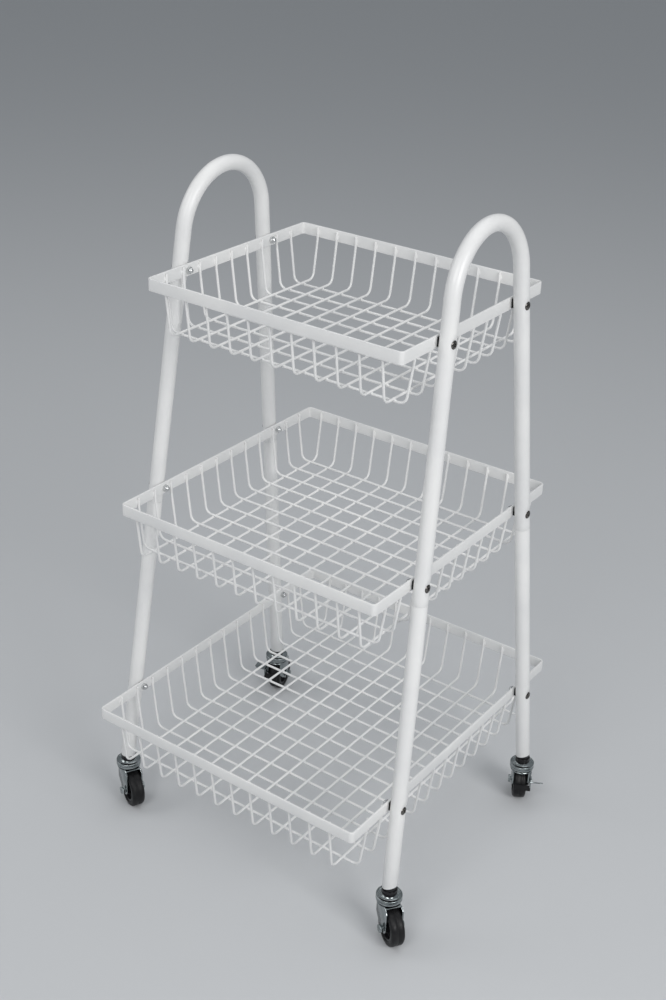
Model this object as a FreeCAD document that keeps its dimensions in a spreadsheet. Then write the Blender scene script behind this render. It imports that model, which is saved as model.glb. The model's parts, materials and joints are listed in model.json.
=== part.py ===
import FreeCAD, Part
import math
import os
import re

import Sketcher
from FreeCAD import Placement, Rotation, Vector

# Three-tier wire kitchen cart on swivel casters, in millimetres.
# Origin on the floor under the cart's middle. +X to the right, -Y to the front, +Z up.

doc = FreeCAD.newDocument("kitchen_cart")
sheet = doc.addObject("Spreadsheet::Sheet", "Sizes")

driving = {
    # tube frame
    "overall_height": 872,      # floor to the top of the hoops
    "tube_od": 19,
    "tube_wall": 1.2,
    "hoop_bend": 75,            # centreline radius of a hoop's top bend
    "hoop_apex_x": 183,         # from the cart's middle to a hoop's axis at the top
    "hoop_lean": 2.35,          # degrees, each hoop leans outward towards the floor
    "leg_splay": 7.25,          # degrees, front and rear legs spread in the hoop's plane
    "seam_height": 450,         # where a lower leg plugs into its hoop
    "spigot_length": 40,
    "spigot_play": 0.05,        # radial
    "front_left_slant": 0,      # degrees, each leg's end is cut shorter on its outer side
    "front_right_slant": 18,
    "rear_left_slant": 0,
    "rear_right_slant": 18,
    # baskets
    "top_rim_level": 759,       # top edge of the rim above the floor
    "middle_rim_level": 479.5,
    "bottom_rim_level": 193,
    "top_depth": 302,           # front to back, outside the rim
    "middle_depth": 388,
    "bottom_depth": 465,
    "top_drop": 70,             # rim top to the plane where the two wire layers meet
    "middle_drop": 70,
    "bottom_drop": 77,
    "rim_height": 15,
    "rim_thickness": 2.5,
    "rim_corner": 6,            # outside radius
    "wire_od": 3.2,
    "wire_pitch": 30,
    "wire_bend": 10,            # centreline radius at the basket floor
    "wire_ease": 20,            # centreline radius under the rim
    "wire_slant": 8,            # degrees, basket sides lean in
    "wire_start": 2,            # wire ends lie this far under the rim's top edge
    "wire_lead": 2.4,           # the outermost wires keep this far from the floor's bend
    "weld_sink": 0.2,           # how far welded wires sink into each other and the rim
    # screws that join tube, spacer and rim
    "screw_od": 5,
    "screw_play": 0.1,          # radial, in the holes
    "screw_head_od": 10.5,
    "screw_head_crown": 8.5,    # diameter of the head's flat top
    "screw_head_height": 1.8,
    "seat_depth": 1,            # flat pressed into the tube under the head
    "spacer_thickness": 1.5,    # at the tube's nearest line
    "spacer_width": 7.5,
    "spacer_height": 11,        # along the tube
    "spacer_wrap": 2,           # how far the saddle reaches round the tube
    "nut_flats": 8,
    "nut_height": 4,
    "nut_dome": 3.7,
    "nut_gap": 1,               # a nut's corners to the basket's wires, at least
    "thread_play": 0.05,
    # caster wheels
    "wheel_od": 50,
    "wheel_width": 18,
    "tyre_wall": 7,
    "tyre_round": 4,
    "hub_od": 14,
    "hub_length": 19,
    "hub_web": 6,
    "hub_rim": 3,               # radial
    "hub_inset": 1,             # hub rim to the tyre's side
    "axle_od": 6,
    "axle_head_od": 11,
    "axle_head_height": 3,
    "axle_nut_flats": 10,
    "axle_nut_height": 5,
    "running_play": 0.05,       # radial, where one piece turns in another
    # caster forks and their swivels
    "trail": 13,                # swivel axis to axle
    "front_left_swivel": 334,   # degrees from +X towards +Y, the way each wheel trails
    "front_right_swivel": 326,
    "rear_left_swivel": 105,
    "rear_right_swivel": 120,
    "fork_sheet": 2,
    "fork_gap": 1.2,            # hub end to fork leg
    "tyre_gap": 4.5,            # wheel top to fork plate
    "fork_plate_od": 31,
    "fork_ahead": 10,           # swivel axis to the legs' leading edge
    "fork_web": 15,             # swivel axis to where the top turns down
    "fork_boss": 8,             # axle to the legs' lower corners
    "fork_shoulder": 4,         # how far the top slopes down behind
    "fork_cheek": 22,           # height of the leading edge under the plate
    "stem_od": 8,
    "stem_length": 22,          # in the socket
    "foot_od": 13,              # riveted foot of the stem
    "foot_land": 8,             # its flat underside
    "foot_height": 2,
    "foot_play": 0.3,
    "ball_od": 4,
    "ball_count": 8,
    "ball_circle": 19,
    "ball_play": 0.15,
    "race_od": 33,              # shallow cap over the balls
    "race_wall": 1.2,
    "race_gap": 2,              # its skirt to the fork plate
    "race_dome": 6,
    "race_drop": 1.5,           # fall of the dome to its shoulder
    "race_shoulder": 30,
    "race_crown": 17,           # diameter of its flat top
    "socket_flange": 8,
    "socket_proud": 0.3,        # flange past the tube, radial
    "socket_length": 30,
    "socket_play": 0.05,
    # brake levers on the rear casters
    "lever_sheet": 1.5,
    "lever_gap": 0.3,           # lever to fork leg and to its rivet's head
    "lever_height": 14,         # side plate at its leading end
    "lever_eye": 10,
    "lever_rise": 13,           # axle to the lever's pivot
    "pedal_rise": 18,           # axle to the pedal's top
    "pedal_lead": 15,           # how far the pedal starts ahead of the swivel axis
    "rear_left_pedal": 0,       # degrees, each pedal's fall towards its axle
    "rear_right_pedal": 36,
    "pedal_length": 17,
    "pedal_width": 18,
    "shoe_angle": 168,          # degrees round the wheel from its trailing side
    "shoe_height": 8,
    "shoe_gap": 1.5,            # shoe to tyre, brake off
    "rivet_od": 5,
    "rivet_head_od": 8,
    "rivet_head_height": 1.5,
}
for row, (alias, number) in enumerate(driving.items(), start=1):
    sheet.set(f"A{row}", alias.replace("_", " "))
    sheet.set(f"B{row}", str(number))
    sheet.setAlias(f"B{row}", alias)
doc.recompute()

tiers = ("top", "middle", "bottom")
sides = {"left": -1, "right": 1}
ends = {"front": -1, "rear": 1}
braked = {"rear_left": 1, "rear_right": -1}      # the side of the fork that carries the lever

derived = {
    "tube_r": "tube_od / 2",
    "bore_r": "tube_r - tube_wall",
    "spigot_r": "bore_r - spigot_play",
    "apex_height": "overall_height - tube_r",
    "bend_out": "hoop_bend * cos(leg_splay)",
    "bend_drop": "hoop_bend * (1 - sin(leg_splay))",
    "seam_down": "(apex_height - seam_height) / cos(hoop_lean)",
    "leg_down": "(apex_height - leg_end) / cos(hoop_lean)",
    "hoop_leg": "(seam_down - bend_drop) / cos(leg_splay)",
    "lower_leg": "(leg_down - seam_down) / cos(leg_splay)",
    "wire_r": "wire_od / 2",
    "nut_room": "nut_flats / 2 / cos(30) + nut_gap + wire_r",
    "wire_straight": "rim_height - wire_start",
    "screw_r": "screw_od / 2",
    "screw_hole_r": "screw_r + screw_play",
    "axle_r": "axle_od / 2",
    "axle_level": "wheel_od / 2",
    "fork_under": "wheel_od + tyre_gap",
    "fork_top": "fork_under + fork_sheet",
    "fork_inner": "hub_length + 2 * fork_gap",
    "fork_outer": "fork_inner + 2 * fork_sheet",
    "race_bottom": "fork_top + race_gap",
    "race_ceiling": "fork_top + ball_od + 2 * ball_play",
    "race_top": "race_ceiling + race_dome",
    "leg_end": "race_top + socket_flange",
    "lever_inner": "fork_outer / 2 + lever_gap",
    "lever_outer": "lever_inner + lever_sheet",
    "lever_level": "axle_level + lever_rise",
    "pedal_level": "axle_level + pedal_rise",
}
for tier in tiers:
    derived.update({
        f"{tier}_screw_level": f"{tier}_rim_level - rim_height / 2",
        f"{tier}_axis_x": f"hoop_apex_x + (apex_height - {tier}_screw_level) * tan(hoop_lean)",
        f"{tier}_down": f"(apex_height - {tier}_screw_level) / cos(hoop_lean)",
        f"{tier}_leg_y": f"bend_out + ({tier}_down - bend_drop) * tan(leg_splay)",
        f"{tier}_half_x": f"{tier}_axis_x - tube_r - spacer_thickness",
        f"{tier}_half_y": f"{tier}_depth / 2",
        f"{tier}_upper_drop": f"{tier}_drop - wire_start - wire_r + weld_sink / 2",
        f"{tier}_lower_drop": f"{tier}_drop - wire_start + wire_r - weld_sink / 2",
        # height of a basket side's slanted stretch, and how far in from the rim its floor begins
        f"{tier}_run": f"{tier}_lower_drop - wire_straight - wire_bend"
                       " + (wire_bend - wire_ease) * sin(wire_slant)",
        f"{tier}_floor_inset": f"wire_r - weld_sink + wire_ease * (1 - cos(wire_slant))"
                               f" + {tier}_run * tan(wire_slant) + wire_bend * cos(wire_slant)",
        f"{tier}_margin": f"rim_thickness + {tier}_floor_inset + wire_lead",
        f"{tier}_long_gaps": f"floor(2 * ({tier}_half_x - {tier}_margin) / wire_pitch)",
        # how far a screw lies from the nearest wire of a full row, which has one wire fewer if that is too near
        f"{tier}_full_gaps": f"floor(2 * ({tier}_half_y - {tier}_margin) / wire_pitch)",
        f"{tier}_screw_phase": f"{tier}_leg_y / wire_pitch + {tier}_full_gaps / 2",
        f"{tier}_screw_off": f"wire_pitch / 2 - wire_pitch"
                             f" * abs({tier}_screw_phase - floor({tier}_screw_phase) - 1 / 2)",
        f"{tier}_cross_gaps": f"{tier}_full_gaps - ({tier}_screw_off < nut_room ? 1 : 0)",
    })


def bind(words):
    """A formula in plain size names, as an expression on the sheet's cells."""
    def swap(match):
        name = match.group(0)
        if name in driving:
            return f"Sizes.{name}"
        if name in derived:
            return f"({bind(derived[name])})"
        return name
    return re.sub(r"[a-z_]+", swap, words)


def value(words):
    return float(sheet.evalExpression(bind(words)))


def make(kind, name, place=None, **sizes):
    """A primitive whose properties follow formulas."""
    obj = doc.addObject(kind, name)
    for prop, words in sizes.items():
        obj.setExpression(prop, bind(words))
    if place:
        obj.Placement = place
    return obj


def fuse(name, pieces, place=None):
    obj = doc.addObject("Part::MultiFuse", name)
    obj.Shapes = pieces
    if place:
        obj.Placement = place
    return obj


def cut(name, base, tools, place=None):
    obj = doc.addObject("Part::Cut", name)
    obj.Base = base
    obj.Tool = tools[0] if len(tools) == 1 else fuse(f"{name}_tools", tools)
    if place:
        obj.Placement = place
    return obj


def group(name, pieces):
    obj = doc.addObject("Part::Compound", name)
    obj.Links = pieces
    return obj


nodes = []


def node(obj, name):
    obj.Label = name
    nodes.append(obj)


def sketch_on(body, role, name):
    sketch = body.newObject("Sketcher::SketchObject", name)
    plane = next(feature for feature in body.Origin.OriginFeatures if feature.Role == role)
    sketch.AttachmentSupport = (plane, [""])
    sketch.MapMode = "FlatFace"
    return sketch


def hold(sketch, kind, words, *where):
    """A sketch dimension that follows a formula."""
    index = sketch.addConstraint(Sketcher.Constraint(kind, *where, value(words)))
    sketch.setExpression(f"Constraints[{index}]", bind(words))


def outline(sketch, corners):
    """A closed run of straight lines through corners given as pairs of formulas."""
    points = [Vector(value(u), value(v), 0) for u, v in corners]
    following = points[1:] + points[:1]
    lines = [sketch.addGeometry(Part.LineSegment(p, q)) for p, q in zip(points, following)]
    for line, after in zip(lines, lines[1:] + lines[:1]):
        sketch.addConstraint(Sketcher.Constraint("Coincident", line, 2, after, 1))
    for line, (u, v) in zip(lines, corners):
        hold(sketch, "DistanceX", u, -1, 1, line, 1)
        hold(sketch, "DistanceY", v, -1, 1, line, 1)


def rounded_box(sketch, half_u, half_v, radius):
    """A rectangle about the sketch's origin with four equal round corners."""
    a, b, r = value(half_u), value(half_v), value(radius)
    quarter = math.pi / 2
    centres = [(a - r, b - r), (r - a, b - r), (r - a, r - b), (a - r, r - b)]
    arcs = []
    for k, (u, v) in enumerate(centres):
        whole = Part.Circle(Vector(u, v, 0), Vector(0, 0, 1), r)
        arcs.append(sketch.addGeometry(Part.ArcOfCircle(whole, k * quarter, (k + 1) * quarter)))
    lines = []
    for arc, after in zip(arcs, arcs[1:] + arcs[:1]):
        edge = Part.LineSegment(sketch.Geometry[arc].EndPoint, sketch.Geometry[after].StartPoint)
        lines.append(sketch.addGeometry(edge))
    for k, line in enumerate(lines):
        sketch.addConstraint(Sketcher.Constraint("Tangent", arcs[k], 2, line, 1))
        sketch.addConstraint(Sketcher.Constraint("Tangent", line, 2, arcs[(k + 1) % 4], 1))
        sketch.addConstraint(Sketcher.Constraint("Vertical" if k % 2 else "Horizontal", line))
    for arc in arcs[1:]:
        sketch.addConstraint(Sketcher.Constraint("Equal", arcs[0], arc))
    hold(sketch, "Radius", radius, arcs[0])
    hold(sketch, "DistanceY", half_v, -1, 1, lines[0], 1)
    hold(sketch, "DistanceX", f"-({half_u})", -1, 1, lines[1], 1)
    hold(sketch, "DistanceY", f"-({half_v})", -1, 1, lines[2], 1)
    hold(sketch, "DistanceX", half_u, -1, 1, lines[3], 1)


def pad(name, role, draw, length, place=None, symmetric=False):
    """A body padded from one sketch."""
    body = doc.addObject("PartDesign::Body", name)
    sketch = sketch_on(body, role, f"{name}_sketch")
    draw(sketch)
    feature = body.newObject("PartDesign::Pad", f"{name}_pad")
    feature.Profile = sketch
    if symmetric:
        feature.SideType = "Symmetric"
    feature.setExpression("Length", bind(length))
    if place:
        body.Placement = place
    return body


def turned(name, corners, place):
    """A body turned about Z from corners given as (radius, height)."""
    body = doc.addObject("PartDesign::Body", name)
    sketch = sketch_on(body, "XZ_Plane", f"{name}_sketch")
    outline(sketch, corners)
    feature = body.newObject("PartDesign::Revolution", f"{name}_turn")
    feature.Profile = sketch
    feature.ReferenceAxis = (sketch, ["V_Axis"])
    feature.Angle = 360
    body.Placement = place
    return body


def hexagon(name, flats, height, place):
    prism = make("Part::Prism", name, place, Circumradius=f"{flats} / 2 / cos(30)", Height=height)
    prism.Polygon = 6
    return prism


def at(x, y, z, rotation=None):
    return Placement(Vector(x, y, z), rotation or Rotation())


def about_y(angle):
    return Rotation(Vector(0, 1, 0), angle)


# Tube frame

def hoop_place(side):
    return at(side * value("hoop_apex_x"), 0, value("apex_height"), about_y(-side * value("hoop_lean")))


def leg_place(side, end, down):
    """On a leg's axis, the given way down the hoop's plane, with Z up along the leg."""
    out = value("bend_out") + (down - value("bend_drop")) * value("tan(leg_splay)")
    in_plane = at(0, end * out, -down, Rotation(0, 0, end * value("leg_splay")))
    return hoop_place(side).multiply(in_plane)


def foot_place(side, end):
    """Where a leg's axis meets the top of its socket's flange."""
    return leg_place(side, end, value("leg_down"))


def screw_place(tier, side, end, x):
    """On a screw's axis, the given way out from the cart's middle, with Z pointing outward."""
    return at(side * value(x), end * value(f"{tier}_leg_y"), value(f"{tier}_screw_level"), about_y(90 * side))


def screw_holes(name, side, end):
    """Cutters for the screws through one leg: each hole and the flat under its head."""
    tools = []
    for tier in tiers:
        tools.append(make("Part::Cylinder", f"{name}_{tier}_hole",
                          screw_place(tier, side, end, f"{tier}_axis_x - tube_od"),
                          Radius="screw_hole_r", Height="2 * tube_od"))
        tools.append(make("Part::Cylinder", f"{name}_{tier}_flat",
                          screw_place(tier, side, end, f"{tier}_axis_x + tube_r - seat_depth"),
                          Radius="screw_head_od / 2 + screw_play", Height="tube_r"))
    return tools


def hoop_solid(name, radius):
    """A hoop's bend and two legs in its own plane, with the top of its axis at the origin."""
    upright = Rotation(Vector(1, 1, 1), 120)
    first = Rotation(Vector(0, 0, 1), value("leg_splay"))
    bend = make("Part::Torus", f"{name}_bend", at(0, 0, -value("hoop_bend"), upright.multiply(first)),
                Radius1="hoop_bend", Radius2=radius, Angle3="180 - 2 * leg_splay")
    legs = []
    for end_name, end in ends.items():
        tangent = at(0, end * value("bend_out"), -value("bend_drop"), Rotation(0, 0, end * value("leg_splay")))
        legs.append(make("Part::Cylinder", f"{name}_{end_name}", tangent.multiply(at(0, 0, -value("hoop_leg"))),
                         Radius=radius, Height="hoop_leg"))
    return fuse(name, [bend, *legs])


def hoop(name, side):
    tube = cut(f"{name}_tube", hoop_solid(f"{name}_outer", "tube_r"), [hoop_solid(f"{name}_bore", "bore_r")],
               hoop_place(side))
    holes = []
    for end_name, end in ends.items():
        holes += screw_holes(f"{name}_{end_name}", side, end)
    return cut(name, tube, holes)


def lower_leg(name, side, end, slant):
    foot = foot_place(side, end)
    overrun = -value("tube_od")
    tube = make("Part::Cylinder", f"{name}_tube", foot.multiply(at(0, 0, overrun)),
                Radius="tube_r", Height="lower_leg + tube_od")
    spigot = make("Part::Cylinder", f"{name}_spigot", foot.multiply(at(0, 0, value("lower_leg - tube_wall"))),
                  Radius="spigot_r", Height="spigot_length + tube_wall")
    bore = make("Part::Cylinder", f"{name}_bore", foot.multiply(at(0, 0, overrun)),
                Radius="bore_r", Height="lower_leg + tube_od - tube_wall")
    neck = make("Part::Cylinder", f"{name}_neck", foot, Radius="spigot_r - tube_wall",
                Height="lower_leg + spigot_length")
    # everything under the slanted cut, which starts at the flange on the tube's inner side
    lowest = at(foot.Base.x - side * value("tube_r"), foot.Base.y, foot.Base.z, about_y(-side * value(slant)))
    trim = make("Part::Box", f"{name}_trim",
                lowest.multiply(at(-value("2 * tube_od"), -value("2 * tube_od"), -value("2 * tube_od"))),
                Length="4 * tube_od", Width="4 * tube_od", Height="2 * tube_od")
    return cut(name, fuse(f"{name}_blank", [tube, spigot]), [bore, neck, trim, *screw_holes(name, side, end)])


for side_name, side in sides.items():
    node(hoop(f"{side_name}_hoop", side), f"{side_name}_hoop")
for end_name, end in ends.items():
    for side_name, side in sides.items():
        name = f"{end_name}_{side_name}_leg"
        node(lower_leg(name, side, end, f"{end_name}_{side_name}_slant"), name)


# Baskets

def rim(name, tier):
    def draw(sketch):
        rounded_box(sketch, f"{tier}_half_x", f"{tier}_half_y", "rim_corner")
        rounded_box(sketch, f"{tier}_half_x - rim_thickness", f"{tier}_half_y - rim_thickness",
                    "rim_corner - rim_thickness")

    ring = pad(f"{name}_ring", "XY_Plane", draw, "rim_height",
               at(0, 0, value(f"{tier}_rim_level - rim_height")))
    holes = [
        make("Part::Cylinder", f"{name}_{end_name}_hole", screw_place(tier, 1, end, f"-{tier}_axis_x"),
             Radius="screw_hole_r", Height=f"2 * {tier}_axis_x")
        for end_name, end in ends.items()
    ]
    return cut(name, ring, holes)


def wire_path(path, half, drop):
    """A U from rim to rim: straight, eased in, slanted, bent, floor, and the same mirrored."""
    slant = math.radians(value("wire_slant"))
    ease, bend = value("wire_ease"), value("wire_bend")
    across = Vector(math.cos(slant), -math.sin(slant), 0)
    down = Vector(-math.sin(slant), -math.cos(slant), 0)
    end = Vector(value(half), 0, 0)
    knee = end - Vector(0, value("wire_straight"), 0)
    ease_centre = knee - Vector(ease, 0, 0)
    ease_end = ease_centre + across * ease
    floor_level = -value(drop)
    bend_start = ease_end + down * ((floor_level + bend + across.y * bend - ease_end.y) / down.y)
    bend_centre = bend_start - across * bend
    floor_end = Vector(bend_centre.x, floor_level, 0)

    def mirrored(point):
        return Vector(-point.x, point.y, 0)

    def arc(centre, radius, first, last):
        return Part.ArcOfCircle(Part.Circle(centre, Vector(0, 0, 1), radius), first, last)

    edges = [
        Part.LineSegment(mirrored(end), mirrored(knee)),
        arc(mirrored(ease_centre), ease, math.pi, math.pi + slant),
        Part.LineSegment(mirrored(ease_end), mirrored(bend_start)),
        arc(mirrored(bend_centre), bend, math.pi + slant, 1.5 * math.pi),
        Part.LineSegment(mirrored(floor_end), floor_end),
        arc(bend_centre, bend, 1.5 * math.pi, 2 * math.pi - slant),
        Part.LineSegment(bend_start, ease_end),
        arc(ease_centre, ease, 2 * math.pi - slant, 2 * math.pi),
        Part.LineSegment(knee, end),
    ]
    for edge in edges:
        path.addGeometry(edge)
    for k in range(len(edges) - 1):
        path.addConstraint(Sketcher.Constraint("Tangent", k, 2, k + 1, 1))
    for k, kind in ((0, "Vertical"), (4, "Horizontal"), (8, "Vertical")):
        path.addConstraint(Sketcher.Constraint(kind, k))
    for k, radius in ((1, "wire_ease"), (3, "wire_bend"), (5, "wire_bend"), (7, "wire_ease")):
        hold(path, "Radius", radius, k)
    for k, top, bottom, sign in ((0, 1, 2, "-"), (8, 2, 1, "")):
        hold(path, "DistanceX", f"{sign}({half})", -1, 1, k, top)
        hold(path, "DistanceY", "0", -1, 1, k, top)
        hold(path, "DistanceY", "-(wire_straight)", -1, 1, k, bottom)
    hold(path, "DistanceY", f"-({drop})", -1, 1, 4, 1)
    for k, words in ((2, "wire_slant - 90"), (6, "90 - wire_slant")):
        index = path.addConstraint(Sketcher.Constraint("Angle", k, math.radians(value(words))))
        path.setExpression(f"Constraints[{index}]", f"({bind(words)}) * 1 deg")
    return [f"Edge{k + 1}" for k in range(len(edges))]


def wires(name, tier, way, layer):
    """One layer of U-shaped wires. Cross wires run along X and long wires along Y."""
    cross = way == "cross"
    half = f"{tier}_half_{'x' if cross else 'y'} - rim_thickness - wire_r + weld_sink"
    body = doc.addObject("PartDesign::Body", f"{name}_body")
    path = sketch_on(body, "XZ_Plane" if cross else "YZ_Plane", f"{name}_path")
    spine = wire_path(path, half, f"{tier}_{layer}_drop")

    profile = sketch_on(body, "XY_Plane", f"{name}_profile")
    u, v = (f"-({half})", "0") if cross else ("0", f"-({half})")
    section = Part.Circle(Vector(value(u), value(v), 0), Vector(0, 0, 1), value("wire_r"))
    profile.addGeometry(section)
    hold(profile, "DistanceX", u, -1, 1, 0, 3)
    hold(profile, "DistanceY", v, -1, 1, 0, 3)
    hold(profile, "Radius", "wire_r", 0)

    pipe = body.newObject("PartDesign::AdditivePipe", f"{name}_pipe")
    pipe.Profile = profile
    pipe.Spine = (path, spine)
    doc.recompute()
    row = body.newObject("PartDesign::LinearPattern", f"{name}_row")
    row.Originals = [pipe]
    row.Direction = (profile, ["V_Axis" if cross else "H_Axis"])
    row.setExpression("Length", bind(f"wire_pitch * {tier}_{way}_gaps"))
    row.setExpression("Occurrences", bind(f"{tier}_{way}_gaps + 1"))
    body.Tip = row
    first = -value(f"wire_pitch * {tier}_{way}_gaps / 2")
    level = value(f"{tier}_rim_level - wire_start")
    body.Placement = at(0, first, level) if cross else at(first, 0, level)
    return body


for tier in tiers:
    node(rim(f"{tier}_rim", tier), f"{tier}_rim")
    # the middle basket is turned over: its cross wires lie on its long wires
    layers = {"cross": "upper", "long": "lower"} if tier == "middle" else {"cross": "lower", "long": "upper"}
    for way, layer in layers.items():
        node(wires(f"{tier}_{way}_wires", tier, way, layer), f"{tier}_{way}_wires")


# Screws, domed nuts and saddle spacers

def screw(name, tier, side, end):
    seat = f"({tier}_axis_x + tube_r - seat_depth)"
    tip = f"({tier}_half_x - rim_thickness - nut_height)"
    shank = make("Part::Cylinder", f"{name}_shank", screw_place(tier, side, end, tip),
                 Radius="screw_r", Height=f"{seat} - {tip}")
    head = make("Part::Cone", f"{name}_head", screw_place(tier, side, end, seat),
                Radius1="screw_head_od / 2", Radius2="screw_head_crown / 2", Height="screw_head_height")
    return fuse(name, [shank, head])


def domed_nut(name, tier, side, end):
    outward = screw_place(tier, side, end, f"{tier}_half_x - rim_thickness")
    inward = outward.multiply(at(0, 0, 0, about_y(180)))
    flats = value("nut_flats")
    body = hexagon(f"{name}_hex", "nut_flats", "nut_height", inward)
    dome = make("Part::Sphere", f"{name}_dome", inward.multiply(at(0, 0, value("nut_height"))),
                Radius="nut_dome")
    behind = make("Part::Box", f"{name}_behind", inward.multiply(at(-flats, -flats, -flats)),
                  Length="2 * nut_flats", Width="2 * nut_flats", Height="nut_flats")
    thread = make("Part::Cylinder", f"{name}_thread", inward, Radius="screw_r + thread_play",
                  Height="nut_height + thread_play")
    return cut(name, fuse(f"{name}_blank", [body, dome]), [behind, thread])


def spacer(name, tier, side, end):
    seat = screw_place(tier, side, end, f"{tier}_half_x")
    block = make("Part::Box", f"{name}_block",
                 seat.multiply(at(-value("spacer_height / 2"), -value("spacer_width / 2"), 0)),
                 Length="spacer_height", Width="spacer_width", Height="spacer_thickness + spacer_wrap")
    tube = make("Part::Cylinder", f"{name}_tube", leg_place(side, end, value(f"{tier}_down + 2 * tube_od")),
                Radius="tube_r", Height="4 * tube_od")
    hole = make("Part::Cylinder", f"{name}_hole", seat.multiply(at(0, 0, -value("tube_r"))),
                Radius="screw_hole_r", Height="2 * tube_od")
    return cut(name, block, [tube, hole])


for tier in tiers:
    for kind, build in (("screws", screw), ("nuts", domed_nut), ("spacers", spacer)):
        made = [
            build(f"{tier}_{kind}_{end_name}_{side_name}", tier, side, end)
            for end_name, end in ends.items()
            for side_name, side in sides.items()
        ]
        node(group(f"{tier}_{kind}", made), f"{tier}_{kind}")


# Leg sockets

def leg_socket(name, side, end):
    foot = foot_place(side, end)
    half = value("2 * tube_od")
    barrel = make("Part::Cylinder", f"{name}_barrel", foot.multiply(at(0, 0, -value("tube_od"))),
                  Radius="bore_r - socket_play", Height="socket_length + tube_od")
    trim = make("Part::Box", f"{name}_trim", at(foot.Base.x - half, foot.Base.y - half, foot.Base.z - half),
                Length="4 * tube_od", Width="4 * tube_od", Height="2 * tube_od")
    below = at(foot.Base.x, foot.Base.y, value("race_top"))
    flange = make("Part::Cylinder", f"{name}_flange", below,
                  Radius="tube_r + socket_proud", Height="socket_flange")
    hole = make("Part::Cylinder", f"{name}_hole", below, Radius="stem_od / 2 + socket_play",
                Height="stem_length + socket_play")
    plug = cut(f"{name}_plug", barrel, [trim])
    return cut(name, fuse(f"{name}_blank", [plug, flange]), [hole])


sockets = [
    leg_socket(f"socket_{end_name}_{side_name}", side, end)
    for end_name, end in ends.items()
    for side_name, side in sides.items()
]
node(group("leg_sockets", sockets), "leg_sockets")


# Casters, each drawn about its swivel axis with the wheel trailing along +X and the axle along Y

def rod(name, x, z, radius, start, length):
    """A round bar along Y from the given start."""
    return make("Part::Cylinder", name, at(value(x), value(start), value(z), Rotation(Vector(1, 0, 0), -90)),
                Radius=radius, Height=length)


def axle_rod(name, radius, start, length):
    return rod(name, "trail", "axle_level", radius, start, length)


def beside(hand, near, width):
    """Where along Y something begins that lies this far off the fork's middle on the given side."""
    return near if hand > 0 else f"-({near} + {width})"


def lever_rod(name, hand, radius, near, length):
    return rod(name, "trail", "lever_level", radius, beside(hand, near, length), length)


def stem(name, place):
    foot = "(fork_under - foot_play)"
    top = "race_top + stem_length"
    return turned(name, [
        ("0", f"{foot} - foot_height"), ("foot_land / 2", f"{foot} - foot_height"), ("foot_od / 2", foot),
        ("stem_od / 2", foot), ("stem_od / 2", top), ("0", top),
    ], place)


def raceway(name, place):
    bore, skirt = "stem_od / 2 + socket_play", "race_od / 2"
    return turned(name, [
        (bore, "race_ceiling"), (f"{skirt} - race_wall", "race_ceiling"),
        (f"{skirt} - race_wall", "race_bottom"), (skirt, "race_bottom"), (skirt, "race_ceiling + race_wall"),
        ("race_shoulder / 2", "race_top - race_drop"), ("race_crown / 2", "race_top"), (bore, "race_top"),
    ], place)


def fork(name, place, hand):
    cheek = [
        ("-fork_ahead", "fork_top"), ("fork_web", "fork_top"),
        ("trail + fork_boss", "fork_under - fork_shoulder"), ("trail + fork_boss", "axle_level - fork_boss"),
        ("trail - fork_boss", "axle_level - fork_boss"), ("-fork_ahead", "fork_under - fork_cheek"),
    ]
    channel = pad(f"{name}_channel", "XZ_Plane", lambda sketch: outline(sketch, cheek), "fork_outer",
                  symmetric=True)
    room = make("Part::Box", f"{name}_room", at(-value("wheel_od"), -value("fork_inner / 2"), 0),
                Length="2 * (wheel_od + trail)", Width="fork_inner", Height="fork_under")
    plate = make("Part::Cylinder", f"{name}_plate", at(0, 0, value("fork_under")),
                 Radius="fork_plate_od / 2", Height="fork_sheet")
    holes = [
        make("Part::Cylinder", f"{name}_stem_hole", Radius="stem_od / 2 + running_play", Height="2 * fork_top"),
        axle_rod(f"{name}_axle_hole", "axle_r + thread_play", "-fork_outer", "2 * fork_outer"),
    ]
    if hand:
        holes.append(lever_rod(f"{name}_rivet_hole", hand, "rivet_od / 2 + thread_play", "0", "fork_outer"))
    bent = cut(f"{name}_bent", channel, [room])
    return cut(name, fuse(f"{name}_blank", [bent, plate]), holes, place)


def axle(name, place):
    shank = axle_rod(f"{name}_shank", "axle_r", "-fork_outer / 2 - axle_nut_height",
                     "fork_outer + axle_nut_height")
    head = axle_rod(f"{name}_head", "axle_head_od / 2", "fork_outer / 2", "axle_head_height")
    return fuse(name, [shank, head], place)


def axle_nut(name, place):
    outward = at(value("trail"), -value("fork_outer / 2"), value("axle_level"), Rotation(Vector(1, 0, 0), 90))
    body = hexagon(f"{name}_hex", "axle_nut_flats", "axle_nut_height", outward)
    hole = axle_rod(f"{name}_thread", "axle_r + thread_play", "-fork_outer", "fork_outer")
    return cut(name, body, [hole], place)


def hub(name, place):
    bore, barrel = "axle_r + running_play", "hub_od / 2"
    outer = "(wheel_od / 2 - tyre_wall)"
    inner = f"{outer} - hub_rim"
    end, side, web = "(hub_length / 2)", "(wheel_width / 2 - hub_inset)", "(hub_web / 2)"
    half = [(outer, side), (inner, side), (inner, web), (barrel, web), (barrel, end), (bore, end)]
    return turned(name, half + [(radius, f"-{height}") for radius, height in reversed(half)], place)


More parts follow.
